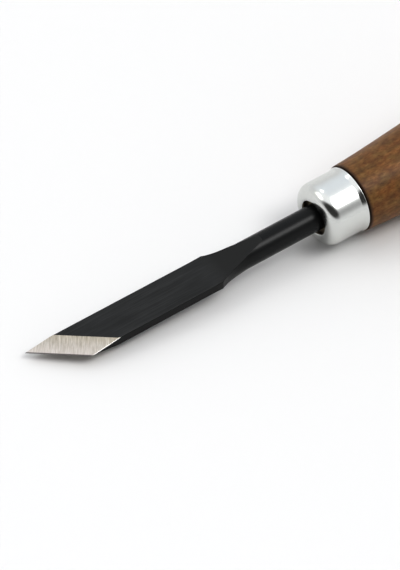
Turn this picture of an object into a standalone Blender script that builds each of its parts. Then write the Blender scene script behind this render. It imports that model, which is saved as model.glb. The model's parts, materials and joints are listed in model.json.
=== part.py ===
"""Skew carving chisel: a forged blade with its tang, a drawn ferrule and a turned handle.

Metres, +Z up. The chisel lies at rest on a bench top at Z = 0, on its ferrule and the swell of its handle,
with the blade level from side to side and clear of the bench. +X runs towards the cutting edge.

The pieces are modelled along the tool's own axis: X towards the point with 0 at the ferrule's front face,
Y across the blade and Z square to its flat. An empty carries them all to the resting pose.
"""

import math

import bmesh
import bpy
from mathutils import Matrix, Vector

MM = 0.001

# Blade forging
BLADE_WIDTH = 12.0 * MM
BLADE_THICKNESS = 3.1 * MM
BLADE_LENGTH = 61.9 * MM  # from the shoulders to the acute point
BLADE_ARRIS = 0.26 * MM  # rounding of the blade's long edges
SKEW_RUN = 15.35 * MM  # how far the acute point leads the heel
BEVEL_LENGTH = 9.7 * MM  # ground length of each bevel, along the axis
NECK_LENGTH = 17.9 * MM  # from the start of its flats, on the shank's round, to the shoulders
SHOULDER_TAPER = 4.0 * MM  # how far past the shoulders the blade goes on thinning
FLARE_LENGTH = 10.6 * MM  # the end of the neck that widens into the shoulders
FLARE_POWER = 2.7  # how late the shoulders widen: 1 is a straight taper, more is later
SHANK_LENGTH = 19.7 * MM  # round bar in front of the ferrule
SHANK_DIAMETER = 8.4 * MM
TANG_LENGTH = 52.0 * MM
TANG_ROOT = 5.0 * MM  # side of the square tang where it leaves the shank
TANG_END = 2.4 * MM  # side of the square tang at its end
TANG_CORNER = 0.4 * MM

# Ferrule
FERRULE_DIAMETER = 20.8 * MM
FERRULE_LENGTH = 13.75 * MM
FERRULE_WALL = 0.8 * MM
FERRULE_SHOULDER = 3.6 * MM  # outer radius of the rounded front
MOUTH_CLEARANCE = 1.5 * MM  # between the shank and the hole in the ferrule's front
LIP_LENGTH = 1.75 * MM  # flared end next to the wood
LIP_FLARE = 0.45 * MM  # how far the lip stands out from the ferrule's body
LIP_POWER = 1.2  # how late the lip flares: 1 is a plain cone, more is later

# Handle
RIM_STEP = 0.2 * MM  # how far the wood stands proud of the ferrule's lip
RIM_ROUND = 0.4 * MM
BARREL_LENGTH = 58.0 * MM  # from the ferrule to the belly, where the handle is widest
BELLY_DIAMETER = 30.0 * MM
BUTT_LENGTH = 58.0 * MM  # from the belly to the end of the handle
BUTT_DIAMETER = 24.0 * MM  # what the handle would narrow to at its end, without the dome
DOME_LENGTH = 11.0 * MM  # rounded end of the handle
RIM_SLOPE = 0.045  # gain of radius per length just behind the rim
TENON_SETBACK = 1.2 * MM  # from the ferrule's front wall back to the tenon's end

# Weight, which settles how the chisel lies
STEEL_DENSITY = 7850.0
WOOD_DENSITY = 720.0

# Fit and fineness
CLEARANCE = 0.3 * MM  # between mating pieces
FLAT_SIDE = 1000.0 * MM  # radius of a side that is as good as flat
TURNED_SEGMENTS = 48
CORNER_STEPS = 6  # points on each quarter of a forged section
NECK_STEPS = 12
TAPER_STEPS = 3
ARC_STEPS = 6
BARREL_STEPS = 10
BUTT_STEPS = 6
DOME_STEPS = 8
SMOOTH_ANGLE = math.radians(30)
MERGE_DISTANCE = 0.001 * MM
STEEPEST_PITCH = math.radians(30)
PITCH_HALVINGS = 50

# Worked out from the sizes above
BLADE_HALF_WIDTH = BLADE_WIDTH / 2
BLADE_HALF_THICKNESS = BLADE_THICKNESS / 2
SHANK_RADIUS = SHANK_DIAMETER / 2
SHOULDER_X = SHANK_LENGTH + NECK_LENGTH
FULL_FLAT_X = SHOULDER_X + SHOULDER_TAPER  # where the blade is down to its thickness
POINT_X = SHOULDER_X + BLADE_LENGTH
FERRULE_RADIUS = FERRULE_DIAMETER / 2
MOUTH_RADIUS = SHANK_RADIUS + MOUTH_CLEARANCE
FRONT_ROUND = min(FERRULE_SHOULDER, FERRULE_RADIUS - MOUTH_RADIUS)  # a fillet can't be wider than its wall
TENON_FRONT_X = -FERRULE_WALL - TENON_SETBACK
SHANK_END_X = TENON_FRONT_X + CLEARANCE
TENON_RADIUS = FERRULE_RADIUS - FERRULE_WALL - CLEARANCE
RIM_X = -FERRULE_LENGTH - CLEARANCE
RIM_RADIUS = FERRULE_RADIUS + LIP_FLARE + RIM_STEP
BELLY_X = RIM_X - BARREL_LENGTH
BELLY_RADIUS = BELLY_DIAMETER / 2
BUTT_RADIUS = BUTT_DIAMETER / 2
DOME_X = BELLY_X - BUTT_LENGTH + DOME_LENGTH


def clear_scene():
    for old in list(bpy.data.objects):
        bpy.data.objects.remove(old, do_unlink=True)


def plain_material(name, colour, roughness, metallic):
    material = bpy.data.materials.new(name)
    material.use_nodes = True
    shader = material.node_tree.nodes["Principled BSDF"]
    shader.inputs["Base Color"].default_value = (*colour, 1.0)
    shader.inputs["Roughness"].default_value = roughness
    shader.inputs["Metallic"].default_value = metallic
    return material


def add_object(name, shape, parent, *materials):
    """Turn a bmesh into a smooth-shaded object on the tool's axis."""
    bmesh.ops.recalc_face_normals(shape, faces=shape.faces)
    mesh = bpy.data.meshes.new(name)
    shape.to_mesh(mesh)
    shape.free()
    mesh.shade_smooth()
    mesh.set_sharp_from_angle(angle=SMOOTH_ANGLE)
    for material in materials:
        mesh.materials.append(material)
    piece = bpy.data.objects.new(name, mesh)
    piece.parent = parent
    bpy.context.scene.collection.objects.link(piece)
    return piece


def smooth_step(t):
    return t * t * (3 - 2 * t)


def arc(centre_x, centre_r, radius, start_degrees, end_degrees):
    """Points (x, r) of a profile's round corner. 0 degrees points along +X and 90 away from the axis."""
    points = []
    for step in range(ARC_STEPS + 1):
        angle = math.radians(start_degrees + (end_degrees - start_degrees) * step / ARC_STEPS)
        points.append((centre_x + radius * math.cos(angle), centre_r + radius * math.sin(angle)))
    return points


def turned(profile, closed):
    """Spin a profile of (x, r) points about the tool's axis. A closed profile is the section of a ring."""
    shape = bmesh.new()
    ring = [shape.verts.new((x, r, 0.0)) for x, r in profile]
    edges = [shape.edges.new(pair) for pair in zip(ring, ring[1:])]
    if closed:
        edges.append(shape.edges.new((ring[-1], ring[0])))
    bmesh.ops.spin(
        shape,
        geom=ring + edges,
        cent=(0.0, 0.0, 0.0),
        axis=(1.0, 0.0, 0.0),
        angle=math.tau,
        steps=TURNED_SEGMENTS,
    )
    bmesh.ops.remove_doubles(shape, verts=shape.verts, dist=MERGE_DISTANCE)
    return shape


def forged_section(half_width, half_height, side_round, arris):
    """Points (y, z) of a bar with flats above and below, round sides and a rounded arris between them.

    Each point lies where the outline faces a given angle, so sections of any shape skin together.
    """
    side_y = half_width - side_round
    arris_z = half_height - arris
    arris_reach = math.sqrt((side_round - arris) ** 2 - arris_z**2)
    arris_start = math.atan2(arris_z, arris_reach)
    points = []
    for step in range(4 * CORNER_STEPS):
        angle = math.tau * (step + 0.5) / (4 * CORNER_STEPS)
        sign_y = math.copysign(1, math.cos(angle))
        sign_z = math.copysign(1, math.sin(angle))
        steepness = math.asin(abs(math.sin(angle)))
        if steepness <= arris_start:
            y = side_y + side_round * math.cos(steepness)
            z = side_round * math.sin(steepness)
        else:
            y = side_y + arris_reach + arris * math.cos(steepness)
            z = arris_z + arris * math.sin(steepness)
        points.append((sign_y * y, sign_z * z))
    return points


def loft(stations):
    """Skin forged sections from rear to front, each given as x and the sizes of its section."""
    shape = bmesh.new()
    rings = []
    for x, *sizes in stations:
        rings.append([shape.verts.new((x, y, z)) for y, z in forged_section(*sizes)])
    for rear, front in zip(rings, rings[1:]):
        for i in range(len(rear)):
            j = (i + 1) % len(rear)
            shape.faces.new((rear[i], rear[j], front[j], front[i]))
    shape.faces.new(rings[0])
    shape.faces.new(rings[-1])
    return shape


def tang_stations(growth):
    """The tapered square tang, grown on every side. Its hole is the same shape with a clearance."""
    end = TANG_END / 2 + growth
    root = TANG_ROOT / 2 + growth
    return [
        (SHANK_END_X - TANG_LENGTH - growth, end, end, FLAT_SIDE, TANG_CORNER),
        (SHANK_END_X, root, root, FLAT_SIDE, TANG_CORNER),
    ]


def crease_step(t):
    """A rise from 0 to 1 that starts with a crease and ends level."""
    return t * (1 + t * (1 - t))


def neck_station(x):
    """The forging's section at a place between the round shank and the flat of the blade."""
    flatness = crease_step((x - SHANK_LENGTH) / (FULL_FLAT_X - SHANK_LENGTH))
    flare = min(1.0, max(0.0, 1 - (SHOULDER_X - x) / FLARE_LENGTH))
    half_width = SHANK_RADIUS + (BLADE_HALF_WIDTH - SHANK_RADIUS) * flare**FLARE_POWER
    half_height = SHANK_RADIUS + (BLADE_HALF_THICKNESS - SHANK_RADIUS) * flatness
    side_round = 1 / ((1 - flare) / SHANK_RADIUS + flare / FLAT_SIDE)
    return (x, half_width, half_height, side_round, BLADE_ARRIS)


def grind_bevel(shape, side):
    """Cut the skewed bevel on the upper (side = 1) or lower (side = -1) face, down to the middle plane."""
    acute_point = Vector((POINT_X, -BLADE_HALF_WIDTH, 0.0))
    along_edge = Vector((-SKEW_RUN, BLADE_WIDTH, 0.0))
    up_bevel = Vector((-BEVEL_LENGTH, 0.0, side * BLADE_HALF_THICKNESS))
    outward = along_edge.cross(up_bevel) * side
    cut = bmesh.ops.bisect_plane(
        shape,
        geom=shape.verts[:] + shape.edges[:] + shape.faces[:],
        plane_co=acute_point,
        plane_no=outward,
        clear_outer=True,
    )
    rim = [item for item in cut["geom_cut"] if isinstance(item, bmesh.types.BMEdge)]
    filled = bmesh.ops.edgeloop_fill(shape, edges=rim)
    for face in filled["faces"]:
        face.material_index = 1


def make_blade(parent):
    full_round = (SHANK_RADIUS, SHANK_RADIUS, SHANK_RADIUS, BLADE_ARRIS)
    flat = (BLADE_HALF_WIDTH, BLADE_HALF_THICKNESS, FLAT_SIDE, BLADE_ARRIS)
    stations = tang_stations(0.0)
    stations.append((SHANK_END_X, *full_round))
    for step in range(NECK_STEPS + 1):
        stations.append(neck_station(SHANK_LENGTH + NECK_LENGTH * step / NECK_STEPS))
    for step in range(1, TAPER_STEPS + 1):
        stations.append(neck_station(SHOULDER_X + SHOULDER_TAPER * step / TAPER_STEPS))
    stations.append((POINT_X, *flat))
    shape = loft(stations)
    grind_bevel(shape, 1)
    grind_bevel(shape, -1)
    blackened = plain_material("blackened_steel", (0.030, 0.032, 0.033), 0.42, 1.0)
    ground = plain_material("ground_steel", (0.60, 0.57, 0.53), 0.30, 1.0)
    return add_object("blade", shape, parent, blackened, ground)


def lip_points(radius):
    """The flared rear end of the ferrule's wall, from the body to the lip."""
    points = []
    for step in range(ARC_STEPS + 1):
        t = step / ARC_STEPS
        points.append((-FERRULE_LENGTH + LIP_LENGTH * (1 - t), radius + LIP_FLARE * t**LIP_POWER))
    return points


def ferrule_outside():
    """The ferrule's outline from the hole in its front to its lip."""
    points = [(0.0, MOUTH_RADIUS)]
    points += arc(-FRONT_ROUND, FERRULE_RADIUS - FRONT_ROUND, FRONT_ROUND, 0, 90)
    points += lip_points(FERRULE_RADIUS)
    return points


def ferrule_inside():
    """The wall's inner side, from the lip back to the hole."""
    inner_round = max(FRONT_ROUND - FERRULE_WALL, 0.0)
    points = lip_points(FERRULE_RADIUS - FERRULE_WALL)[::-1]
    points += arc(-FRONT_ROUND, FERRULE_RADIUS - FRONT_ROUND, inner_round, 90, 0)
    points.append((-FERRULE_WALL, MOUTH_RADIUS))
    return points


def make_ferrule(parent):
    shape = turned(ferrule_outside() + ferrule_inside(), closed=True)
    plated = plain_material("bright_plating", (0.82, 0.83, 0.84), 0.10, 1.0)
    return add_object("ferrule", shape, parent, plated)


def butt_taper(x):
    """The handle's radius behind the belly, before its end is rounded."""
    return BELLY_RADIUS - (BELLY_RADIUS - BUTT_RADIUS) * ((BELLY_X - x) / BUTT_LENGTH) ** 2


def handle_profile():
    """The handle's outline from the middle of the tenon's end to the middle of the butt."""
    tenon_round = max(FRONT_ROUND - FERRULE_WALL - CLEARANCE, 0.0)
    points = [(TENON_FRONT_X, 0.0)]
    points += arc(TENON_FRONT_X - tenon_round, TENON_RADIUS - tenon_round, tenon_round, 0, 90)
    points.append((RIM_X, TENON_RADIUS))
    points += arc(RIM_X - RIM_ROUND, RIM_RADIUS - RIM_ROUND, RIM_ROUND, 0, 90)
    barrel_start_x = RIM_X - RIM_ROUND
    run = barrel_start_x - BELLY_X
    for step in range(1, BARREL_STEPS + 1):
        t = step / BARREL_STEPS
        swell = smooth_step(t)
        rise = RIM_SLOPE * run * t * (1 - t) ** 2
        points.append((barrel_start_x - run * t, RIM_RADIUS + (BELLY_RADIUS - RIM_RADIUS) * swell + rise))
    for step in range(1, BUTT_STEPS + 1):
        x = BELLY_X + (DOME_X - BELLY_X) * step / BUTT_STEPS
        points.append((x, butt_taper(x)))
    for step in range(1, DOME_STEPS + 1):
        angle = math.pi / 2 * step / DOME_STEPS
        x = DOME_X - DOME_LENGTH * math.sin(angle)
        points.append((x, butt_taper(x) * math.cos(angle)))
    return points


def make_handle(parent):
    shape = turned(handle_profile(), closed=False)
    wood = plain_material("stained_wood", (0.21, 0.10, 0.045), 0.45, 0.0)
    handle = add_object("handle", shape, parent, wood)

    root = TANG_ROOT / 2 + CLEARANCE
    mouth = (0.0, root, root, FLAT_SIDE, TANG_CORNER)
    cutter = add_object("tang_hole_cutter", loft(tang_stations(CLEARANCE) + [mouth]), parent)
    cutter.hide_render = True
    cutter.display_type = "WIRE"
    hole = handle.modifiers.new("tang_hole", "BOOLEAN")
    hole.operation = "DIFFERENCE"
    hole.solver = "EXACT"
    hole.object = cutter
    return handle


def balance_x(weighed):
    """Where along the axis the pieces balance, from pairs of a piece and its density."""
    weight = 0.0
    moment = 0.0
    for piece, density in weighed:
        mesh = piece.data
        mesh.calc_loop_triangles()
        for triangle in mesh.loop_triangles:
            a, b, c = (mesh.vertices[i].co for i in triangle.vertices)
            wedge = density * a.dot(b.cross(c))
            weight += wedge
            moment += wedge * (a.x + b.x + c.x) / 4
    return moment / weight


def resting_outline():
    """Points (x, r) that can touch the bench: the blade's underside, the ferrule and the handle."""
    blade = [(POINT_X, 0.0), (POINT_X - BEVEL_LENGTH, BLADE_HALF_THICKNESS)]
    return blade + ferrule_outside() + handle_profile()


def resting_pitch(balance):
    """The nose-down angle at which the chisel touches the bench on both sides of its balance point."""
    outline = resting_outline()
    low = 0.0
    high = STEEPEST_PITCH
    for _ in range(PITCH_HALVINGS):
        pitch = (low + high) / 2
        lowest_x, _ = max(outline, key=lambda point: point[0] * math.sin(pitch) + point[1] * math.cos(pitch))
        if lowest_x < balance:
            low = pitch
        else:
            high = pitch
    return low


def lay_on_bench(tool_axis, pitch, pieces):
    """Pitch the pieces' common axis so that the chisel rests at Z = 0, centred on the origin."""
    rotation = Matrix.Rotation(pitch, 4, "Y")
    corners = [rotation @ vertex.co for piece in pieces for vertex in piece.data.vertices]
    low = Vector([min(corner[i] for corner in corners) for i in range(3)])
    high = Vector([max(corner[i] for corner in corners) for i in range(3)])
    middle = (low + high) / 2
    tool_axis.matrix_world = Matrix.Translation((-middle.x, -middle.y, -low.z)) @ rotation


def main():
    clear_scene()
    tool_axis = bpy.data.objects.new("tool_axis", None)
    bpy.context.scene.collection.objects.link(tool_axis)
    blade = make_blade(tool_axis)
    ferrule = make_ferrule(tool_axis)
    handle = make_handle(tool_axis)
    balance = balance_x([(blade, STEEL_DENSITY), (ferrule, STEEL_DENSITY), (handle, WOOD_DENSITY)])
    lay_on_bench(tool_axis, resting_pitch(balance), [blade, ferrule, handle])


main()
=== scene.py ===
"""Looks of the skew carving chisel: detailed pieces in place of the solids, finishes, light and camera.

Metres, +Z up. The pieces are modelled along the tool's own axis, as the solids are: X towards the point with
0 at the ferrule's front face, Y across the blade and Z square to its flat. One matrix carries them to the
resting pose. It is worked out from the record's mount on the blade's upper flat.
"""

import json
import math

import bmesh
import bpy
from mathutils import Matrix, Vector


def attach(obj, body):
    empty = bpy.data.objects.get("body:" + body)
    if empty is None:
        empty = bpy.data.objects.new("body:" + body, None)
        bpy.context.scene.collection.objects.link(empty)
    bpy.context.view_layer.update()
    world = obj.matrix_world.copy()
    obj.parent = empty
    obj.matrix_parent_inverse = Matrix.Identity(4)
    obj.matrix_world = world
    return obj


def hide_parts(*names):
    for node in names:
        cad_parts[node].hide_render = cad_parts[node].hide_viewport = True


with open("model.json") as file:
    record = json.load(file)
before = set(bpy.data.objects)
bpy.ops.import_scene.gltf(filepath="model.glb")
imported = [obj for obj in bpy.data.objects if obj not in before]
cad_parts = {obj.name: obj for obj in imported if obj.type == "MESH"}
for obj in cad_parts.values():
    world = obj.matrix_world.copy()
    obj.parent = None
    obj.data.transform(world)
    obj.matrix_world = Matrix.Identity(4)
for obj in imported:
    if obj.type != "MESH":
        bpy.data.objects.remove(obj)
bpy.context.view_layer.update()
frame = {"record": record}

MM = 0.001
BODY = "root"
TOOL_POINT = "tool_point"  # mesh attribute with a point's place on the tool's axis

# Blade forging
BLADE_WIDTH = 12.0 * MM
BLADE_THICKNESS = 3.1 * MM
BLADE_LENGTH = 61.9 * MM
BLADE_ARRIS = 0.26 * MM
SKEW_RUN = 15.35 * MM
BEVEL_LENGTH = 9.7 * MM
FACET_DEPTH = 0.14 * MM  # of the narrow facet where a bevel meets the blade's heel side
FACET_LEAN = 0.3  # from the bevel's slope at 0 to the blade's side at 1
NECK_LENGTH = 17.9 * MM
SHOULDER_TAPER = 4.0 * MM  # how far past the shoulders the blade goes on thinning
FLARE_LENGTH = 10.6 * MM
FLARE_POWER = 2.7  # 1 is a straight flare, more keeps the neck slim for longer
SHANK_LENGTH = 19.7 * MM
SHANK_DIAMETER = 8.4 * MM
TANG_LENGTH = 52.0 * MM
TANG_ROOT = 5.0 * MM
TANG_END = 2.4 * MM
TANG_CORNER = 0.4 * MM
FLAT_SIDE = 1000.0 * MM  # radius of a side that is as good as flat

# Ferrule
FERRULE_DIAMETER = 20.8 * MM
FERRULE_LENGTH = 13.75 * MM
FERRULE_WALL = 0.8 * MM
FERRULE_SHOULDER = 3.6 * MM
MOUTH_CLEARANCE = 1.5 * MM
FRONT_RUN = 4.0 * MM  # from the flat of the front to the straight of the body, along and across the axis
FRONT_POWER = 2.3  # 2 is a round shoulder, more is squarer
MOUTH_ROLL = 1.6 * MM  # the front turns in gently towards the hole
MOUTH_ROUND = 0.2 * MM  # rounded edge of the hole
LIP_LENGTH = 1.75 * MM
LIP_FLARE = 0.45 * MM
LIP_POWER = 1.2  # 1 is a straight flare, more curves outwards
LIP_ROUND = 0.3 * MM  # rounded edge of the lip, next to the wood

# Handle
RIM_STEP = 0.2 * MM
RIM_ROUND = 0.4 * MM
RIM_SLOPE = 0.045  # how steeply the barrel starts to swell behind the rim
BARREL_LENGTH = 58.0 * MM
BELLY_DIAMETER = 30.0 * MM
BUTT_LENGTH = 58.0 * MM
BUTT_DIAMETER = 24.0 * MM
DOME_LENGTH = 11.0 * MM
TENON_SETBACK = 1.2 * MM
CLEARANCE = 0.3 * MM

# Fineness
TURNED_SEGMENTS = 160
CORNER_STEPS = 12
NECK_STEPS = 48
TAPER_STEPS = 12
ARC_STEPS = 14
SHOULDER_STEPS = 40
BARREL_STEPS = 36
BUTT_STEPS = 24
DOME_STEPS = 24
SMOOTH_ANGLE = math.radians(35)
MERGE_DISTANCE = 0.001 * MM

# Textures: noises with so many features per metre along the tool, across it and square to the blade's flat.
# Those of the grinding are turned to lie along the cutting edge and across it.
NOISE_LOW = 0.3  # a noise lies mostly between these two
NOISE_HIGH = 0.7
SCRATCHES = {"scale": (60, 2200, 2200), "detail": 4.0, "roughness": 0.6}
OXIDE_CLOUD = {"scale": (90, 260, 260), "detail": 3.0}
OXIDE_GRAIN = {"scale": (7000, 7000, 7000), "detail": 2.0}
GRINDING_LINES = {"scale": (4500, 260, 260), "detail": 4.0, "roughness": 0.7}
GRINDING_STREAKS = {"scale": (2600, 420, 420), "detail": 2.0}
TURNING_LINES = {"scale": (5000, 0, 0), "detail": 2.0}
PRESS_WAVES = {"scale": (160, 220, 220), "detail": 1.0}
PLATING_CLOUD = {"scale": (700, 700, 700), "detail": 4.0}
WOOD_FIGURE = {"scale": (420, 760, 760), "detail": 3.0, "roughness": 0.6}
WOOD_WARMTH = {"scale": (260, 420, 420), "detail": 2.0}
WOOD_GRAIN = {"scale": (260, 2600, 2600), "detail": 3.0, "roughness": 0.6}
WOOD_PORES = {"scale": (900, 4200, 4200), "detail": 1.0}
WOOD_RINGS = {"scale": (26, 380, 380), "detail": 2.0}

# Blackened steel
OXIDE_DARK = (0.0220, 0.0227, 0.0227)
OXIDE_LIGHT = (0.0325, 0.0332, 0.0338)
SCRATCH_LIGHT = (0.015, 0.0154, 0.0154)  # what a full scratch adds
SCRATCH_START = 0.45  # of its noise
SCRATCH_FULL = 0.75
SCRATCH_DEPTH = 0.004 * MM
OXIDE_GRAIN_DEPTH = 0.003 * MM
# painted shade: the blade's sides and arrises are darker than its flats
BLADE_SIDE_SHADE = (0.004, 0.0041, 0.0042)
NECK_ROUND_BLACK = (0.0125, 0.013, 0.0132)  # on the shank too
NECK_FLAT_BLACK = (0.0255, 0.026, 0.026)
BLADE_ROUGHNESS = (0.30, 0.42)
NECK_ROUND_ROUGHNESS = 0.24  # on the shank too
NECK_FLAT_ROUGHNESS = 0.6
OXIDE_SPECULAR = 0.21
SHOULDER_FADE = 3.0 * MM  # how soon the neck's dull black gives way to the brushed blade

# Ground steel
GROUND_DARK = (0.42, 0.394, 0.350)
GROUND_LIGHT = (0.69, 0.663, 0.626)
GROUND_EVEN = (0.55, 0.528, 0.507)  # without its lines
GROUND_LOW = 0.34  # of the lines' noise
GROUND_HIGH = 0.66
GROUND_DEPTH = 0.004 * MM
GROUND_ROUGHNESS = (0.28, 0.42)
STREAK_DARK = (0.82, 0.79, 0.745)
STREAK_LIGHT = (1.0, 0.99, 0.985)
STREAK_HIGH = 0.65  # of the streaks' noise
EDGE_WASH = (1.12, 1.10, 1.10)  # tint next to the cutting edge
PLAIN_WASH = (1.0, 1.0, 1.0)
FLAT_WASH = (0.88, 0.86, 0.80)  # tint next to the blade's flat
PLAIN_PLACE = 0.55  # of the way from the edge to the flat, where nothing is tinted
EVEN_SHARE = 0.5  # how much of the lines is lost at the cutting edge
EVEN_REACH = 0.6  # of the way from the edge to the flat, where all of the lines show
FACET_HIGHLIGHT_WIDTH = 0.12 * MM  # width of the painted highlight along the facet, across the blade
FACET_HIGHLIGHT_FADE = 0.06 * MM  # soft border of that width
# painted highlight on the heel-side facet
FACET_PAINTED_HIGHLIGHT = (0.85, 0.84, 0.83)
EDGE_SHADE_WIDTH = 0.45 * MM  # painted line of shade along the cutting edge
EDGE_SHADE_SHARE = 0.9  # how much of the ground colour the painted shade line covers
EDGE_SHADE_DARK = (0.10, 0.092, 0.098)

# Bright plating
PLATING_DARK = (0.69, 0.70, 0.682)
PLATING_LIGHT = (0.71, 0.72, 0.70)
PLATING_ROUGHNESS = (0.15, 0.18)
BLEMISH_START = 0.35  # of the cloud's noise
BLEMISH_FULL = 0.75
WAVE_DEPTH = 0.012 * MM
TURNING_DEPTH = 0.0006 * MM

# Stained wood
WOOD_DARK = (0.120, 0.0525, 0.0150)
WOOD_MIDDLE = (0.187, 0.0905, 0.0275)
WOOD_LIGHT = (0.258, 0.1360, 0.0460)
FIGURE_MIDDLE = 0.5  # of the figure's noise
RING_DARK = (0.80, 0.79, 0.78)
RING_LIGHT = (1.12, 1.12, 1.12)
WARM_TINT = (1.06, 0.93, 0.84)
COOL_TINT = (0.97, 1.05, 1.02)
WARM_END = 0.35  # of the warmth's noise
COOL_END = 0.65
GRAIN_BROWN = (0.085, 0.037, 0.013)
GRAIN_SHARE = 0.45
GRAIN_START = 0.45  # of the grain's noise
GRAIN_FULL = 0.75
GRAIN_DEPTH = 0.008 * MM
PORE_BROWN = (0.045, 0.019, 0.007)
PORE_SHARE = 0.5
PORE_START = 0.60  # of the pores' noise
PORE_FULL = 0.72
PORE_DEPTH = 0.008 * MM
# painted shade on the wood where it meets the ferrule, darkest at the rim
RIM_PAINTED_SHADE = (0.02, 0.008, 0.004)
RIM_SHADE_SHARE = 0.85
RIM_REACH = 1.1 * MM  # reach of the painted shade on each side of the rim, next to the ferrule, and of the fade to the bare tenon
BARE_WOOD = (0.28, 0.235, 0.165)
WOOD_ROUGHNESS = (0.42, 0.52)
WOOD_SPECULAR = 0.25
LACQUER_WEIGHT = 0.12
LACQUER_ROUGHNESS = 0.3

# Bench top
FLOOR_SIZE = 6.0
BENCH_WHITE = (0.781, 0.776, 0.772)
BENCH_ROUGHNESS = 0.7
BENCH_SPECULAR = 0.2

# Light: a sky with a radius of 1 and soft patches on it, each at an azimuth and elevation in degrees
ROOM_HORIZON = (0.95, 0.95, 0.96)
ROOM_WALL = (0.86, 0.86, 0.87)
ROOM_CEILING = (1.18, 1.19, 1.21)
WALL_HEIGHT = 0.5  # where the sky has the wall's colour
CEILING_HEIGHT = 0.9  # and from where it has the ceiling's
COOL_WALL = {"place": (-132, 50), "half_width": 0.60, "half_height": 0.40, "power": 2, "softness": 0.9}
COOL_WALL_LIGHT = (1.02, 1.06, 1.12)
FLAG = {"place": (52, 40), "half_width": 0.80, "half_height": 0.40, "power": 2, "softness": 0.35}
FLAG_BLACK = (0.07, 0.07, 0.068)
LAMP = {"place": (138, 58), "half_width": 0.312, "half_height": 0.29, "power": 2.5, "softness": 0.95}
LAMP_LIGHT = (7.96, 7.96, 7.9)
LAMP_FALLOFF = 3.0  # 1 is an even fade at the main lamp's fringe, more is a longer one
BACK_BOX = {"place": (-98, 57), "half_width": 0.14, "half_height": 0.11, "power": 2, "softness": 0.7}
BACK_BOX_LIGHT = (2.6, 2.6, 2.6)
LEFT_BOX = {"place": (-35, 40), "half_width": 0.28, "half_height": 0.26, "power": 3, "softness": 0.7}
LEFT_BOX_LIGHT = (2.05, 2.04, 1.98)
SIDE_FADE = 0.1  # keeps a patch off the far side of the sky
SKY_STRENGTH = 1.03
VIEW_GAMMA = 0.77  # the photograph's contrast

# Camera
IMAGE_WIDTH = 400  # pixels
FOCAL_PIXELS = 2300.0
SENSOR_WIDTH = 36.0
CAMERA_AIM = Vector((54.45, -2.8, 0.0)) * MM
CAMERA_DISTANCE = 690.5 * MM
CAMERA_AZIMUTH = 50.65  # where the camera stands, in degrees from +X towards +Y
CAMERA_ELEVATION = 47.76
CAMERA_ROLL = math.radians(5.70)  # the picture's right side is the higher one

# Worked out from the sizes above
BLADE_HALF_WIDTH = BLADE_WIDTH / 2
BLADE_HALF_THICKNESS = BLADE_THICKNESS / 2
SHANK_RADIUS = SHANK_DIAMETER / 2
SHOULDER_X = SHANK_LENGTH + NECK_LENGTH
FULL_FLAT_X = SHOULDER_X + SHOULDER_TAPER  # where the blade is down to its thickness
POINT_X = SHOULDER_X + BLADE_LENGTH
FERRULE_RADIUS = FERRULE_DIAMETER / 2
MOUTH_RADIUS = SHANK_RADIUS + MOUTH_CLEARANCE
TENON_FRONT_X = -FERRULE_WALL - TENON_SETBACK
SHANK_END_X = TENON_FRONT_X + CLEARANCE
TENON_RADIUS = FERRULE_RADIUS - FERRULE_WALL - CLEARANCE
TANG_HOLE_RADIUS = TANG_ROOT / math.sqrt(2) + CLEARANCE
RIM_X = -FERRULE_LENGTH - CLEARANCE
RIM_RADIUS = FERRULE_RADIUS + LIP_FLARE + RIM_STEP
BELLY_X = RIM_X - BARREL_LENGTH
BELLY_RADIUS = BELLY_DIAMETER / 2
BUTT_RADIUS = BUTT_DIAMETER / 2
DOME_X = BELLY_X - BUTT_LENGTH + DOME_LENGTH
ACUTE_POINT = Vector((POINT_X, -BLADE_HALF_WIDTH, 0.0))
EDGE_ANGLE = math.atan2(BLADE_WIDTH, -SKEW_RUN)  # direction of the cutting edge, from +X towards +Y
FLAT_END_X = POINT_X - SKEW_RUN / 2 - BEVEL_LENGTH  # where the upper flat ends, on the blade's middle line


def resting_pose():
    """The tool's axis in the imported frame, from the mount in the middle of the blade's upper flat."""
    mount = next(m for m in frame["record"]["mounts"] if m["name"] == "blade_top_face")
    up = Vector(mount["axis"]).normalized()
    along = Vector((up.z, 0.0, -up.x)).normalized()
    across = up.cross(along)
    middle_of_flat = along * (FULL_FLAT_X + FLAT_END_X) / 2 + up * BLADE_HALF_THICKNESS
    origin = Vector(mount["pos_m"]) - middle_of_flat
    return Matrix.Translation(origin) @ Matrix((along, across, up)).transposed().to_4x4()


def add_piece(name, shape, node, slot, *materials):
    """Turn a bmesh into a smooth-shaded piece that stands for a CAD node, with sharp lines between finishes.

    The mesh keeps each point's place on the tool's axis, which the finishes follow.
    """
    bmesh.ops.recalc_face_normals(shape, faces=shape.faces)
    shape.edges.index_update()
    borders = []
    for edge in shape.edges:
        if len({face.material_index for face in edge.link_faces}) > 1:
            borders.append(edge.index)
    mesh = bpy.data.meshes.new(name)
    shape.to_mesh(mesh)
    shape.free()
    mesh.shade_smooth()
    mesh.set_sharp_from_angle(angle=SMOOTH_ANGLE)
    for index in borders:
        mesh.edges[index].use_edge_sharp = True
    for material in materials:
        mesh.materials.append(material)
    on_axis = mesh.attributes.new(TOOL_POINT, "FLOAT_VECTOR", "POINT")
    for vertex in mesh.vertices:
        on_axis.data[vertex.index].vector = vertex.co
    mesh.transform(resting_pose())
    piece = bpy.data.objects.new(name, mesh)
    bpy.context.scene.collection.objects.link(piece)
    normals = piece.modifiers.new("flat_faces_stay_flat", "WEIGHTED_NORMAL")
    normals.keep_sharp = True
    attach(piece, BODY)
    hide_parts(node)


def smooth_step(t):
    """A rise from 0 to 1 that starts and ends level."""
    return t * t * (3 - 2 * t)


def crease_step(t):
    """A rise from 0 to 1 that starts with a crease and ends level."""
    return t * (1 + t * (1 - t))


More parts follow.
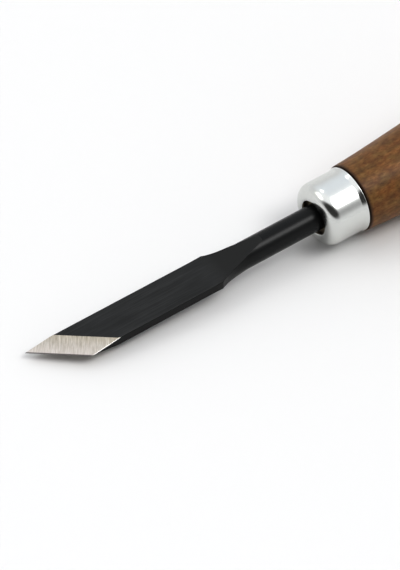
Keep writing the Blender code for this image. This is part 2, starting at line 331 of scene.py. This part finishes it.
def arc(centre_x, centre_r, radius, start_degrees, end_degrees):
    """Points (x, r) of a profile's round corner. 0 degrees points along +X and 90 away from the axis."""
    points = []
    for step in range(ARC_STEPS + 1):
        angle = math.radians(start_degrees + (end_degrees - start_degrees) * step / ARC_STEPS)
        points.append((centre_x + radius * math.cos(angle), centre_r + radius * math.sin(angle)))
    return points


def skin(shape, rings):
    """Join each ring of points to the next with a band of faces."""
    for rear, front in zip(rings, rings[1:]):
        for i in range(len(rear)):
            j = (i + 1) % len(rear)
            shape.faces.new((rear[i], rear[j], front[j], front[i]))


def turned(profile, closed):
    """Spin a profile of (x, r) points about the tool's axis. A closed profile is the section of a ring."""
    shape = bmesh.new()
    angles = [math.tau * step / TURNED_SEGMENTS for step in range(TURNED_SEGMENTS)]
    rings = []
    for x, r in profile:
        rings.append([shape.verts.new((x, r * math.cos(angle), r * math.sin(angle))) for angle in angles])
    if closed:
        rings.append(rings[0])
    skin(shape, rings)
    bmesh.ops.remove_doubles(shape, verts=shape.verts, dist=MERGE_DISTANCE)
    return shape


def forged_section(half_width, half_height, side_round, arris):
    """Points (y, z) of a bar with flats above and below, round sides and a rounded arris between them.

    Each point lies where the outline faces a given angle, so sections of any shape skin together.
    """
    side_y = half_width - side_round
    arris_z = half_height - arris
    arris_reach = math.sqrt((side_round - arris) ** 2 - arris_z**2)
    arris_start = math.atan2(arris_z, arris_reach)
    points = []
    for step in range(4 * CORNER_STEPS):
        angle = math.tau * (step + 0.5) / (4 * CORNER_STEPS)
        sign_y = math.copysign(1, math.cos(angle))
        sign_z = math.copysign(1, math.sin(angle))
        steepness = math.asin(abs(math.sin(angle)))
        if steepness <= arris_start:
            y = side_y + side_round * math.cos(steepness)
            z = side_round * math.sin(steepness)
        else:
            y = side_y + arris_reach + arris * math.cos(steepness)
            z = arris_z + arris * math.sin(steepness)
        points.append((sign_y * y, sign_z * z))
    return points


def loft(stations):
    """Skin forged sections from rear to front, each given as x and the sizes of its section."""
    shape = bmesh.new()
    rings = []
    for x, *sizes in stations:
        rings.append([shape.verts.new((x, y, z)) for y, z in forged_section(*sizes)])
    skin(shape, rings)
    shape.faces.new(rings[0])
    shape.faces.new(rings[-1])
    return shape


def neck_station(x):
    """The forging's section at a place between the round shank and the flat of the blade."""
    flatness = crease_step((x - SHANK_LENGTH) / (FULL_FLAT_X - SHANK_LENGTH))
    flare = min(1.0, max(0.0, 1 - (SHOULDER_X - x) / FLARE_LENGTH))
    half_width = SHANK_RADIUS + (BLADE_HALF_WIDTH - SHANK_RADIUS) * flare**FLARE_POWER
    half_height = SHANK_RADIUS + (BLADE_HALF_THICKNESS - SHANK_RADIUS) * flatness
    side_round = 1 / ((1 - flare) / SHANK_RADIUS + flare / FLAT_SIDE)
    return (x, half_width, half_height, side_round, BLADE_ARRIS)


def grind(shape, point, outward):
    """Cut away what lies outside a plane and give the new face the ground finish."""
    cut = bmesh.ops.bisect_plane(
        shape,
        geom=shape.verts[:] + shape.edges[:] + shape.faces[:],
        plane_co=point,
        plane_no=outward,
        clear_outer=True,
    )
    rim = [item for item in cut["geom_cut"] if isinstance(item, bmesh.types.BMEdge)]
    filled = bmesh.ops.edgeloop_fill(shape, edges=rim)
    for face in filled["faces"]:
        face.material_index = 1


def grind_bevel(shape, side):
    """Grind the upper (side = 1) or lower (side = -1) bevel and break its sharp edge on the heel side."""
    along_edge = Vector((-SKEW_RUN, BLADE_WIDTH, 0.0))
    up_bevel = Vector((-BEVEL_LENGTH, 0.0, side * BLADE_HALF_THICKNESS))
    outward = (along_edge.cross(up_bevel) * side).normalized()
    grind(shape, ACUTE_POINT, outward)
    facet = outward.lerp(Vector((0.0, 1.0, 0.0)), FACET_LEAN).normalized()
    grind(shape, ACUTE_POINT + along_edge - facet * FACET_DEPTH, facet)


def make_blade():
    """The forging: tang, shank, neck and blade, with both bevels ground."""
    full_round = (SHANK_RADIUS, SHANK_RADIUS, SHANK_RADIUS, BLADE_ARRIS)
    flat = (BLADE_HALF_WIDTH, BLADE_HALF_THICKNESS, FLAT_SIDE, BLADE_ARRIS)
    tang_end = TANG_END / 2
    tang_root = TANG_ROOT / 2
    stations = [
        (SHANK_END_X - TANG_LENGTH, tang_end, tang_end, FLAT_SIDE, TANG_CORNER),
        (SHANK_END_X, tang_root, tang_root, FLAT_SIDE, TANG_CORNER),
        (SHANK_END_X, *full_round),
    ]
    for step in range(NECK_STEPS + 1):
        stations.append(neck_station(SHANK_LENGTH + NECK_LENGTH * step / NECK_STEPS))
    for step in range(1, TAPER_STEPS + 1):
        stations.append(neck_station(SHOULDER_X + SHOULDER_TAPER * step / TAPER_STEPS))
    stations.append((POINT_X, *flat))
    shape = loft(stations)
    grind_bevel(shape, 1)
    grind_bevel(shape, -1)
    bmesh.ops.remove_doubles(shape, verts=shape.verts, dist=MERGE_DISTANCE)
    add_piece("skew_blade", shape, "blade", "blade_steel", blackened_steel(), ground_steel())


def lip_points(radius, end_x):
    """The flared rear end of the ferrule's wall, from the body to the lip."""
    start_x = -FERRULE_LENGTH + LIP_LENGTH
    points = []
    for step in range(ARC_STEPS + 1):
        x = start_x + (end_x - start_x) * step / ARC_STEPS
        points.append((x, radius + LIP_FLARE * ((start_x - x) / LIP_LENGTH) ** LIP_POWER))
    return points


def shoulder_points():
    """The ferrule's outside from the front's flat to the body, blending gently into both."""
    points = []
    for step in range(SHOULDER_STEPS + 1):
        angle = math.pi / 2 * step / SHOULDER_STEPS
        x = -FRONT_RUN + FRONT_RUN * math.cos(angle) ** (2 / FRONT_POWER)
        r = FERRULE_RADIUS - FRONT_RUN + FRONT_RUN * math.sin(angle) ** (2 / FRONT_POWER)
        points.append((x, r))
    return points


def make_ferrule():
    """The drawn cup, from the edge of its hole over the outside to the lip and back along the inside."""
    shoulder_r = FERRULE_RADIUS - FERRULE_SHOULDER
    front_r = FERRULE_RADIUS - FRONT_RUN
    edge_r = MOUTH_RADIUS + MOUTH_ROUND
    lean = math.asin((front_r - edge_r) / (MOUTH_ROLL - MOUTH_ROUND))
    edge_x = -MOUTH_ROLL + (MOUTH_ROLL - MOUTH_ROUND) * math.cos(lean)
    turn_in = -math.degrees(lean)
    outside = arc(edge_x, edge_r, MOUTH_ROUND, -90, turn_in)
    outside += arc(-MOUTH_ROLL, front_r, MOUTH_ROLL, turn_in, 0)[1:]
    outside += shoulder_points()[1:]
    outside += lip_points(FERRULE_RADIUS, -FERRULE_LENGTH + LIP_ROUND)
    _, lip_r = outside[-1]
    outside += arc(-FERRULE_LENGTH + LIP_ROUND, lip_r - LIP_ROUND, LIP_ROUND, 90, 180)
    inside = lip_points(FERRULE_RADIUS - FERRULE_WALL, -FERRULE_LENGTH)[::-1]
    inside += arc(-FERRULE_SHOULDER, shoulder_r, FERRULE_SHOULDER - FERRULE_WALL, 90, 0)
    inside.append((-FERRULE_WALL, MOUTH_RADIUS))
    shape = turned(outside + inside, closed=True)
    add_piece("ferrule_shell", shape, "ferrule", "ferrule_plating", bright_plating())


def butt_taper(x):
    """The handle's radius behind the belly, before its end is rounded."""
    return BELLY_RADIUS - (BELLY_RADIUS - BUTT_RADIUS) * ((BELLY_X - x) / BUTT_LENGTH) ** 2


def handle_profile():
    """The handle's outline from the bottom of the tang's hole to the middle of the butt."""
    hole_end_x = SHANK_END_X - TANG_LENGTH - CLEARANCE
    tenon_round = FERRULE_SHOULDER - FERRULE_WALL - CLEARANCE
    points = [(hole_end_x, 0.0), (hole_end_x, TANG_HOLE_RADIUS), (TENON_FRONT_X, TANG_HOLE_RADIUS)]
    points += arc(TENON_FRONT_X - tenon_round, TENON_RADIUS - tenon_round, tenon_round, 0, 90)
    points.append((RIM_X, TENON_RADIUS))
    points += arc(RIM_X - RIM_ROUND, RIM_RADIUS - RIM_ROUND, RIM_ROUND, 0, 90)
    barrel_start_x = RIM_X - RIM_ROUND
    run = barrel_start_x - BELLY_X
    for step in range(1, BARREL_STEPS + 1):
        t = step / BARREL_STEPS
        rise = RIM_SLOPE * run * t * (1 - t) ** 2
        radius = RIM_RADIUS + (BELLY_RADIUS - RIM_RADIUS) * smooth_step(t) + rise
        points.append((barrel_start_x - run * t, radius))
    for step in range(1, BUTT_STEPS + 1):
        x = BELLY_X + (DOME_X - BELLY_X) * step / BUTT_STEPS
        points.append((x, butt_taper(x)))
    for step in range(1, DOME_STEPS + 1):
        angle = math.pi / 2 * step / DOME_STEPS
        x = DOME_X - DOME_LENGTH * math.sin(angle)
        points.append((x, butt_taper(x) * math.cos(angle)))
    return points


def make_handle():
    """The turned wood, with its tenon and the tang's hole."""
    shape = turned(handle_profile(), closed=False)
    add_piece("turned_handle", shape, "handle", "handle_wood", stained_wood())


def new_material(name):
    """A material with its node tree and its Principled shader."""
    material = bpy.data.materials.new(name)
    material.use_nodes = True
    return material, material.node_tree, material.node_tree.nodes["Principled BSDF"]


def connect(tree, value, socket):
    """Feed a socket from another node's output, or set it to a plain value."""
    if isinstance(value, bpy.types.NodeSocket):
        tree.links.new(value, socket)
    else:
        socket.default_value = value


def opaque(colour):
    return (*colour, 1.0)


def grey(level):
    return (level, level, level)


def stretched(tree, scale, turn=0.0):
    """The place on the tool's axis, turned about Z and then scaled on each axis."""
    place = tree.nodes.new("ShaderNodeAttribute")
    place.attribute_name = TOOL_POINT
    rotate = tree.nodes.new("ShaderNodeVectorRotate")
    rotate.rotation_type = "Z_AXIS"
    rotate.inputs["Angle"].default_value = -turn
    multiply = tree.nodes.new("ShaderNodeVectorMath")
    multiply.operation = "MULTIPLY"
    multiply.inputs[1].default_value = scale
    tree.links.new(place.outputs["Vector"], rotate.inputs["Vector"])
    tree.links.new(rotate.outputs["Vector"], multiply.inputs[0])
    return multiply.outputs["Vector"]


def noise(tree, scale, detail, roughness=0.5, turn=0.0):
    """A noise that is stretched along the tool's axes, turned about Z."""
    texture = tree.nodes.new("ShaderNodeTexNoise")
    texture.inputs["Scale"].default_value = 1.0
    texture.inputs["Detail"].default_value = detail
    texture.inputs["Roughness"].default_value = roughness
    tree.links.new(stretched(tree, scale, turn), texture.inputs["Vector"])
    return texture.outputs["Fac"]


def ramp(tree, factor, *stops):
    """Colours along a factor, each stop given as (position, colour)."""
    node = tree.nodes.new("ShaderNodeValToRGB")
    elements = node.color_ramp.elements
    while len(elements) < len(stops):
        elements.new(1.0)
    for element, (position, colour) in zip(elements, stops):
        element.position = position
        element.color = opaque(colour)
    tree.links.new(factor, node.inputs["Fac"])
    return node.outputs["Color"]


def span(tree, factor, low, high, out_low=0.0, out_high=1.0):
    """Map a factor from low..high to another range, clamped."""
    node = tree.nodes.new("ShaderNodeMapRange")
    node.inputs["From Min"].default_value = low
    node.inputs["From Max"].default_value = high
    node.inputs["To Min"].default_value = out_low
    node.inputs["To Max"].default_value = out_high
    tree.links.new(factor, node.inputs["Value"])
    return node.outputs["Result"]


def mix(tree, factor, first, second, blend_type="MIX"):
    """A colour between two others, or one laid over another."""
    node = tree.nodes.new("ShaderNodeMix")
    node.data_type = "RGBA"
    node.blend_type = blend_type
    connect(tree, factor, node.inputs["Factor"])
    connect(tree, first, node.inputs["A"])
    connect(tree, second, node.inputs["B"])
    return node.outputs["Result"]


def blend(tree, factor, first, second):
    """A plain value between two others."""
    node = tree.nodes.new("ShaderNodeMix")
    node.data_type = "FLOAT"
    connect(tree, factor, node.inputs["Factor"])
    connect(tree, first, node.inputs["A"])
    connect(tree, second, node.inputs["B"])
    return node.outputs["Result"]


def arithmetic(tree, operation, *values):
    """A calculation on plain values, each a number or another node's output."""
    node = tree.nodes.new("ShaderNodeMath")
    node.operation = operation
    for value, socket in zip(values, node.inputs):
        connect(tree, value, socket)
    return node.outputs["Value"]


def dot(tree, direction, vector):
    """How far a direction points along a vector."""
    node = tree.nodes.new("ShaderNodeVectorMath")
    node.operation = "DOT_PRODUCT"
    tree.links.new(direction, node.inputs[0])
    node.inputs[1].default_value = vector
    return node.outputs["Value"]


def bump(tree, height, depth, under=None):
    """A normal from a height between 0 and 1, which stands for a depth in metres."""
    node = tree.nodes.new("ShaderNodeBump")
    node.inputs["Strength"].default_value = 1.0
    node.inputs["Distance"].default_value = depth
    tree.links.new(height, node.inputs["Height"])
    if under is not None:
        tree.links.new(under, node.inputs["Normal"])
    return node.outputs["Normal"]


def axis_place(tree, turn=0.0):
    """The X, Y and Z of a point's place on the tool's axis, turned about Z."""
    split = tree.nodes.new("ShaderNodeSeparateXYZ")
    tree.links.new(stretched(tree, (1.0, 1.0, 1.0), turn), split.inputs["Vector"])
    return split.outputs


def on_flats(tree, place):
    """1 on the flats above and below the blade and neck, 0 on the rounded sides and the shank."""
    along = span(tree, place["X"], SHANK_LENGTH, FULL_FLAT_X)
    left = arithmetic(tree, "SUBTRACT", 1.0, along)
    lift = arithmetic(tree, "MULTIPLY_ADD", along, left, 1.0)
    flatness = arithmetic(tree, "MULTIPLY", along, lift)
    half_height = span(tree, flatness, 0.0, 1.0, SHANK_RADIUS, BLADE_HALF_THICKNESS)
    height = arithmetic(tree, "ABSOLUTE", place["Z"])
    drop = arithmetic(tree, "SUBTRACT", half_height, height)
    flat = span(tree, drop, BLADE_ARRIS / 2, BLADE_ARRIS / 8)
    past_shank = span(tree, place["X"], SHANK_LENGTH, SHANK_LENGTH + BLADE_ARRIS)
    return arithmetic(tree, "MULTIPLY", flat, past_shank)


def blackened_steel():
    """Black oxide: brushed lengthwise on the blade, dull on the neck's flats and shinier on the shank, with
    painted shade on the blade's sides and arrises.
    """
    material, tree, shader = new_material("blackened_steel")
    scratches = noise(tree, **SCRATCHES)
    cloud = noise(tree, **OXIDE_CLOUD)
    grain = noise(tree, **OXIDE_GRAIN)
    tone = ramp(tree, cloud, (NOISE_LOW, OXIDE_DARK), (NOISE_HIGH, OXIDE_LIGHT))
    worn = ramp(tree, scratches, (SCRATCH_START, grey(0.0)), (SCRATCH_FULL, SCRATCH_LIGHT))
    place = axis_place(tree)
    flats = on_flats(tree, place)
    # painted shade on the blade's sides and arrises
    brushed_and_shaded = mix(tree, flats, opaque(BLADE_SIDE_SHADE), mix(tree, 1.0, tone, worn, "ADD"))
    on_blade = span(tree, place["X"], SHOULDER_X - SHOULDER_FADE, SHOULDER_X + SHOULDER_FADE)
    forged = mix(tree, flats, opaque(NECK_ROUND_BLACK), opaque(NECK_FLAT_BLACK))
    tree.links.new(mix(tree, on_blade, forged, brushed_and_shaded), shader.inputs["Base Color"])
    dullness = blend(tree, flats, NECK_ROUND_ROUGHNESS, NECK_FLAT_ROUGHNESS)
    scratched = span(tree, scratches, NOISE_LOW, NOISE_HIGH, *BLADE_ROUGHNESS)
    tree.links.new(blend(tree, on_blade, dullness, scratched), shader.inputs["Roughness"])
    shader.inputs["Specular IOR Level"].default_value = OXIDE_SPECULAR
    lines = bump(tree, scratches, SCRATCH_DEPTH)
    tree.links.new(bump(tree, grain, OXIDE_GRAIN_DEPTH, lines), shader.inputs["Normal"])
    return material


def ground_steel():
    """Bright steel, ground square to the cutting edge and warmer towards the flat, with painted shade along
    the cutting edge and a painted highlight on the heel-side facet.
    """
    material, tree, shader = new_material("ground_steel")
    lines = noise(tree, **GRINDING_LINES, turn=EDGE_ANGLE)
    streaks = noise(tree, **GRINDING_STREAKS, turn=EDGE_ANGLE)
    colour = ramp(tree, lines, (GROUND_LOW, GROUND_DARK), (GROUND_HIGH, GROUND_LIGHT))
    tint = ramp(tree, streaks, (NOISE_LOW, STREAK_DARK), (STREAK_HIGH, STREAK_LIGHT))
    lined = mix(tree, 1.0, colour, tint, "MULTIPLY")
    edge_place = axis_place(tree, EDGE_ANGLE)["Y"]
    edge_y = (Matrix.Rotation(-EDGE_ANGLE, 3, "Z") @ ACUTE_POINT).y
    bevel_run = BEVEL_LENGTH * math.sin(EDGE_ANGLE)
    depth = span(tree, edge_place, edge_y, edge_y + bevel_run)
    wash = ramp(tree, depth, (0.0, EDGE_WASH), (PLAIN_PLACE, PLAIN_WASH), (1.0, FLAT_WASH))
    evenness = span(tree, depth, 0.0, EVEN_REACH, EVEN_SHARE, 0.0)
    smoothed = mix(tree, evenness, lined, opaque(GROUND_EVEN))
    washed = mix(tree, 1.0, smoothed, wash, "MULTIPLY")
    # painted highlight along the facet on the heel side
    facet_y = BLADE_HALF_WIDTH - FACET_HIGHLIGHT_WIDTH
    facet_highlight = span(tree, axis_place(tree)["Y"], facet_y - FACET_HIGHLIGHT_FADE, facet_y)
    facet_highlighted = mix(tree, facet_highlight, washed, opaque(FACET_PAINTED_HIGHLIGHT))
    # painted shade line along the cutting edge
    edge_shade = span(tree, edge_place, edge_y + EDGE_SHADE_WIDTH / 2, edge_y + EDGE_SHADE_WIDTH, EDGE_SHADE_SHARE, 0.0)
    tree.links.new(mix(tree, edge_shade, facet_highlighted, opaque(EDGE_SHADE_DARK)), shader.inputs["Base Color"])
    tree.links.new(span(tree, lines, NOISE_LOW, NOISE_HIGH, *GROUND_ROUGHNESS), shader.inputs["Roughness"])
    shader.inputs["Metallic"].default_value = 1.0
    tree.links.new(bump(tree, lines, GROUND_DEPTH), shader.inputs["Normal"])
    return material


def bright_plating():
    """Polished plating: faint turning lines, slow waviness from the drawing press, and small blemishes."""
    material, tree, shader = new_material("bright_plating")
    lines = noise(tree, **TURNING_LINES)
    waves = noise(tree, **PRESS_WAVES)
    cloud = noise(tree, **PLATING_CLOUD)
    colour = ramp(tree, cloud, (NOISE_LOW, PLATING_DARK), (NOISE_HIGH, PLATING_LIGHT))
    tree.links.new(colour, shader.inputs["Base Color"])
    dullness = span(tree, cloud, BLEMISH_START, BLEMISH_FULL, *PLATING_ROUGHNESS)
    tree.links.new(dullness, shader.inputs["Roughness"])
    shader.inputs["Metallic"].default_value = 1.0
    slow = bump(tree, waves, WAVE_DEPTH)
    tree.links.new(bump(tree, lines, TURNING_DEPTH, slow), shader.inputs["Normal"])
    return material


def stained_wood():
    """Brown-stained hardwood under a satin lacquer, with painted shade next to the ferrule's rim. The tenon
    is bare.
    """
    material, tree, shader = new_material("stained_wood")
    figure = noise(tree, **WOOD_FIGURE)
    warmth = noise(tree, **WOOD_WARMTH)
    grain = noise(tree, **WOOD_GRAIN)
    pores = noise(tree, **WOOD_PORES)
    rings = noise(tree, **WOOD_RINGS)
    shades = [(NOISE_LOW, WOOD_DARK), (FIGURE_MIDDLE, WOOD_MIDDLE), (NOISE_HIGH, WOOD_LIGHT)]
    base = ramp(tree, figure, *shades)
    hue = ramp(tree, warmth, (WARM_END, WARM_TINT), (COOL_END, COOL_TINT))
    ring_tone = ramp(tree, rings, (NOISE_LOW, RING_DARK), (NOISE_HIGH, RING_LIGHT))
    ringed = mix(tree, 1.0, base, ring_tone, "MULTIPLY")
    toned = mix(tree, 1.0, ringed, hue, "MULTIPLY")
    in_grain = span(tree, grain, GRAIN_START, GRAIN_FULL, 0.0, GRAIN_SHARE)
    lined = mix(tree, in_grain, toned, opaque(GRAIN_BROWN))
    in_pore = span(tree, pores, PORE_START, PORE_FULL, 0.0, PORE_SHARE)
    pored = mix(tree, in_pore, lined, opaque(PORE_BROWN))
    # painted shade on the wood on either side of the rim, next to the ferrule
    from_rim = span(tree, axis_place(tree)["X"], RIM_X - RIM_REACH, RIM_X + RIM_REACH)
    rim_shade = ramp(tree, from_rim, (0.0, grey(0.0)), (0.5, grey(RIM_SHADE_SHARE)), (1.0, grey(0.0)))
    rim_shaded = mix(tree, rim_shade, pored, opaque(RIM_PAINTED_SHADE))
    on_tenon = span(tree, axis_place(tree)["X"], RIM_X, RIM_X + RIM_REACH)
    tree.links.new(mix(tree, on_tenon, rim_shaded, opaque(BARE_WOOD)), shader.inputs["Base Color"])
    tree.links.new(span(tree, grain, NOISE_LOW, NOISE_HIGH, *WOOD_ROUGHNESS), shader.inputs["Roughness"])
    shader.inputs["Specular IOR Level"].default_value = WOOD_SPECULAR
    shader.inputs["Coat Weight"].default_value = LACQUER_WEIGHT
    shader.inputs["Coat Roughness"].default_value = LACQUER_ROUGHNESS
    dents = bump(tree, pores, -PORE_DEPTH)
    tree.links.new(bump(tree, grain, GRAIN_DEPTH, dents), shader.inputs["Normal"])
    return material


def white_bench():
    """Plain pale bench top."""
    material, _, shader = new_material("white_bench")
    shader.inputs["Base Color"].default_value = opaque(BENCH_WHITE)
    shader.inputs["Roughness"].default_value = BENCH_ROUGHNESS
    shader.inputs["Specular IOR Level"].default_value = BENCH_SPECULAR
    return material


def make_floor():
    """The bench top, at the height that the chisel rests on."""
    half = FLOOR_SIZE / 2
    mesh = bpy.data.meshes.new("bench_top")
    corners = [(-half, -half, 0.0), (half, -half, 0.0), (half, half, 0.0), (-half, half, 0.0)]
    mesh.from_pydata(corners, [], [(0, 1, 2, 3)])
    mesh.materials.append(white_bench())
    floor = bpy.data.objects.new("bench_top", mesh)
    bpy.context.scene.collection.objects.link(floor)


def toward(azimuth_degrees, elevation_degrees):
    """Unit vector at an azimuth, from +X towards +Y, and an elevation."""
    azimuth = math.radians(azimuth_degrees)
    elevation = math.radians(elevation_degrees)
    level = math.cos(elevation)
    return Vector((level * math.cos(azimuth), level * math.sin(azimuth), math.sin(elevation)))


def reach(tree, direction, along, half_size, power):
    """How far a sky direction lies along a vector, where 1 is half_size, raised to a power."""
    distance = arithmetic(tree, "ABSOLUTE", dot(tree, direction, along / half_size))
    return arithmetic(tree, "POWER", distance, power)


def sky_patch(tree, direction, place, half_width, half_height, power, softness):
    """How much of a sky direction lies in a soft-edged patch at an azimuth and elevation.

    The patch is an oval with power 2 and squarer with more.
    """
    facing = toward(*place)
    across = Vector((-facing.y, facing.x, 0.0)).normalized()
    upward = facing.cross(across)
    from_middle = arithmetic(
        tree,
        "ADD",
        reach(tree, direction, across, half_width, power),
        reach(tree, direction, upward, half_height, power),
    )
    inside = span(tree, from_middle, 1 + softness, 1 - softness)
    near_side = span(tree, dot(tree, direction, facing), 0.0, SIDE_FADE)
    return arithmetic(tree, "MULTIPLY", inside, near_side)


def make_sky():
    """A pale room with a cool wall, a black flag round the camera, the main lamp and two soft boxes."""
    world = bpy.data.worlds.new("studio")
    bpy.context.scene.world = world
    world.use_nodes = True
    tree = world.node_tree
    direction = tree.nodes.new("ShaderNodeTexCoord").outputs["Generated"]
    split = tree.nodes.new("ShaderNodeSeparateXYZ")
    tree.links.new(direction, split.inputs["Vector"])
    heights = [(0.0, ROOM_HORIZON), (WALL_HEIGHT, ROOM_WALL), (CEILING_HEIGHT, ROOM_CEILING)]
    sky = ramp(tree, split.outputs["Z"], *heights)
    sky = mix(tree, sky_patch(tree, direction, **COOL_WALL), sky, opaque(COOL_WALL_LIGHT))
    sky = mix(tree, sky_patch(tree, direction, **FLAG), sky, opaque(FLAG_BLACK))
    lamp = arithmetic(tree, "POWER", sky_patch(tree, direction, **LAMP), LAMP_FALLOFF)
    sky = mix(tree, lamp, sky, opaque(LAMP_LIGHT))
    sky = mix(tree, sky_patch(tree, direction, **BACK_BOX), sky, opaque(BACK_BOX_LIGHT))
    sky = mix(tree, sky_patch(tree, direction, **LEFT_BOX), sky, opaque(LEFT_BOX_LIGHT))
    background = tree.nodes["Background"]
    tree.links.new(sky, background.inputs["Color"])
    background.inputs["Strength"].default_value = SKY_STRENGTH


def make_camera():
    """The camera at the photograph's viewing angle."""
    data = bpy.data.cameras.new("photo_camera")
    data.sensor_fit = "HORIZONTAL"
    data.sensor_width = SENSOR_WIDTH
    data.lens = FOCAL_PIXELS * SENSOR_WIDTH / IMAGE_WIDTH
    camera = bpy.data.objects.new("photo_camera", data)
    outward = toward(CAMERA_AZIMUTH, CAMERA_ELEVATION)
    camera.location = CAMERA_AIM + outward * CAMERA_DISTANCE
    upright = (-outward).to_track_quat("-Z", "Y").to_matrix().to_4x4()
    turn = upright @ Matrix.Rotation(CAMERA_ROLL, 4, "Z")
    camera.rotation_euler = turn.to_euler()
    bpy.context.scene.collection.objects.link(camera)
    bpy.context.scene.camera = camera


make_camera()
make_blade()
make_ferrule()
make_handle()
make_floor()
make_sky()
bpy.context.scene.view_settings.view_transform = "Standard"
bpy.context.scene.view_settings.gamma = VIEW_GAMMA
